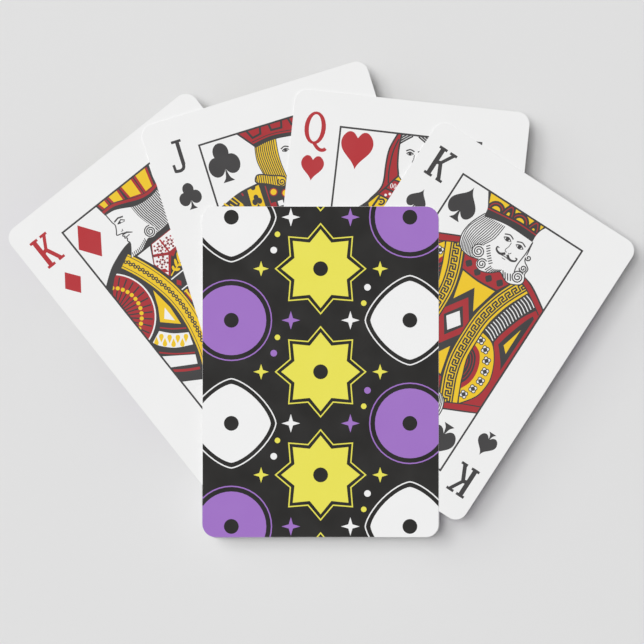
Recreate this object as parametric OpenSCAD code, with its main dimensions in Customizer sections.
// Playing card deck. Most of the pack lies squared and face down, four court cards are
// fanned out face up on it, and the top card lies face down over the foot of the fan.
// The origin is the middle of the pack's underside. +Z is up, +X is across the cards and
// +Y is along them, towards the heads of the fanned cards.

/* [Card] */
// Width of a card
card_w = 63.5; // [50:0.1:80]
// Length of a card
card_l = 88.9; // [75:0.1:130]
// Thickness of the card stock
card_t = 0.28; // [0.2:0.01:0.6]
// Radius of the rounded corners
corner_r = 3.4; // [1:0.1:12]
// Air between one card and the next in the pile
card_gap = 0.03; // [0.02:0.01:0.3]

/* [Pack] */
// Sideways play left between the cards of the squared pack
pack_play = 0.2; // [0:0.05:1]
// Turning play left between the cards of the squared pack, in degrees
pack_turn = 0.2; // [0:0.05:1]

/* [Fan] */
// Pinch point that the cards turn about, to the right of the middle of the pack
pivot_x = -2.8; // [-25:0.1:25]
// Pinch point that the cards turn about, up from the middle of the pack
pivot_y = -28.6; // [-40:0.1:40]

/* [King of diamonds] */
// Turn to the left from the pack, in degrees
king_of_diamonds_turn = 38.6; // [-90:0.1:90]
// Middle of the card, to the card's own right of the pinch point
king_of_diamonds_side = 7.9; // [-30:0.1:30]
// Middle of the card, up the card's own length from the pinch point
king_of_diamonds_reach = 58; // [0:0.1:70]

/* [Jack of clubs] */
// Turn to the left from the pack, in degrees
jack_of_clubs_turn = 17.2; // [-90:0.1:90]
// Middle of the card, to the card's own right of the pinch point
jack_of_clubs_side = 15.6; // [-30:0.1:30]
// Middle of the card, up the card's own length from the pinch point
jack_of_clubs_reach = 59.1; // [0:0.1:70]

/* [Queen of hearts] */
// Turn to the left from the pack, in degrees
queen_of_hearts_turn = -6; // [-90:0.1:90]
// Middle of the card, to the card's own right of the pinch point
queen_of_hearts_side = 17; // [-30:0.1:30]
// Middle of the card, up the card's own length from the pinch point
queen_of_hearts_reach = 59.4; // [0:0.1:70]

/* [King of spades] */
// Turn to the left from the pack, in degrees
king_of_spades_turn = -32.9; // [-90:0.1:90]
// Middle of the card, to the card's own right of the pinch point
king_of_spades_side = 8.7; // [-30:0.1:30]
// Middle of the card, up the card's own length from the pinch point
king_of_spades_reach = 55.8; // [0:0.1:70]

/* [Hidden] */
$fn = 48;
SUITS = ["hearts", "clubs", "diamonds", "spades"];
RANKS = ["ace", "two", "three", "four", "five", "six", "seven", "eight", "nine", "ten",
         "jack", "queen", "king"];

// The fan from its lowest card to its highest, and the card that lies on it
FAN = ["king_of_diamonds", "jack_of_clubs", "queen_of_hearts", "king_of_spades"];
FAN_TURN = [king_of_diamonds_turn, jack_of_clubs_turn, queen_of_hearts_turn, king_of_spades_turn];
FAN_SIDE = [king_of_diamonds_side, jack_of_clubs_side, queen_of_hearts_side, king_of_spades_side];
FAN_REACH = [king_of_diamonds_reach, jack_of_clubs_reach, queen_of_hearts_reach, king_of_spades_reach];
TOP = "ace_of_spades";

// The squared pack holds every card that is neither in the fan nor on top, lowest first
function in_pack(name) = name != TOP && len([for (fanned = FAN) if (fanned == name) fanned]) == 0;
PACK = [for (suit = SUITS) for (rank = RANKS)
        let (name = str(rank, "_of_", suit)) if (in_pack(name)) name];

// Each card lies one card and one gap above the card below it
function height_of(level) = level * (card_t + card_gap);

// Angle steps that scatter the cards of the pack within their play, from none at the bottom card
scatter_x = 137.5;
scatter_y = 222.5;
scatter_turn = 99;

// One flat card with rounded corners, its middle on the Z axis and its underside at zero
module blank_card() {
    linear_extrude(card_t) {
        square([card_w - 2 * corner_r, card_l], center = true);
        square([card_w, card_l - 2 * corner_r], center = true);
        for (x = [-1, 1], y = [-1, 1])
            translate([x * (card_w / 2 - corner_r), y * (card_l / 2 - corner_r)]) circle(corner_r);
    }
}

// One card of the squared pack, face down, a hair out of line with its neighbours
module pack_card(level) {
    color("dimgray")
    translate([pack_play * sin(level * scatter_x), pack_play * sin(level * scatter_y), height_of(level)])
    rotate(pack_turn * sin(level * scatter_turn))
    blank_card();
}

// One court card of the fan, face up, turned about the pinch point
module fan_card(place) {
    color("white")
    translate([pivot_x, pivot_y, height_of(len(PACK) + place)])
    rotate(FAN_TURN[place])
    translate([FAN_SIDE[place], FAN_REACH[place], 0])
    blank_card();
}

// The top card, face down over the fan and in line with the pack
module top_card() {
    color("darkslategray")
    translate([0, 0, height_of(len(PACK) + len(FAN))])
    blank_card();
}

for (level = [0 : len(PACK) - 1])
    pack_card(level);
for (place = [0 : len(FAN) - 1])
    fan_card(place);
top_card();
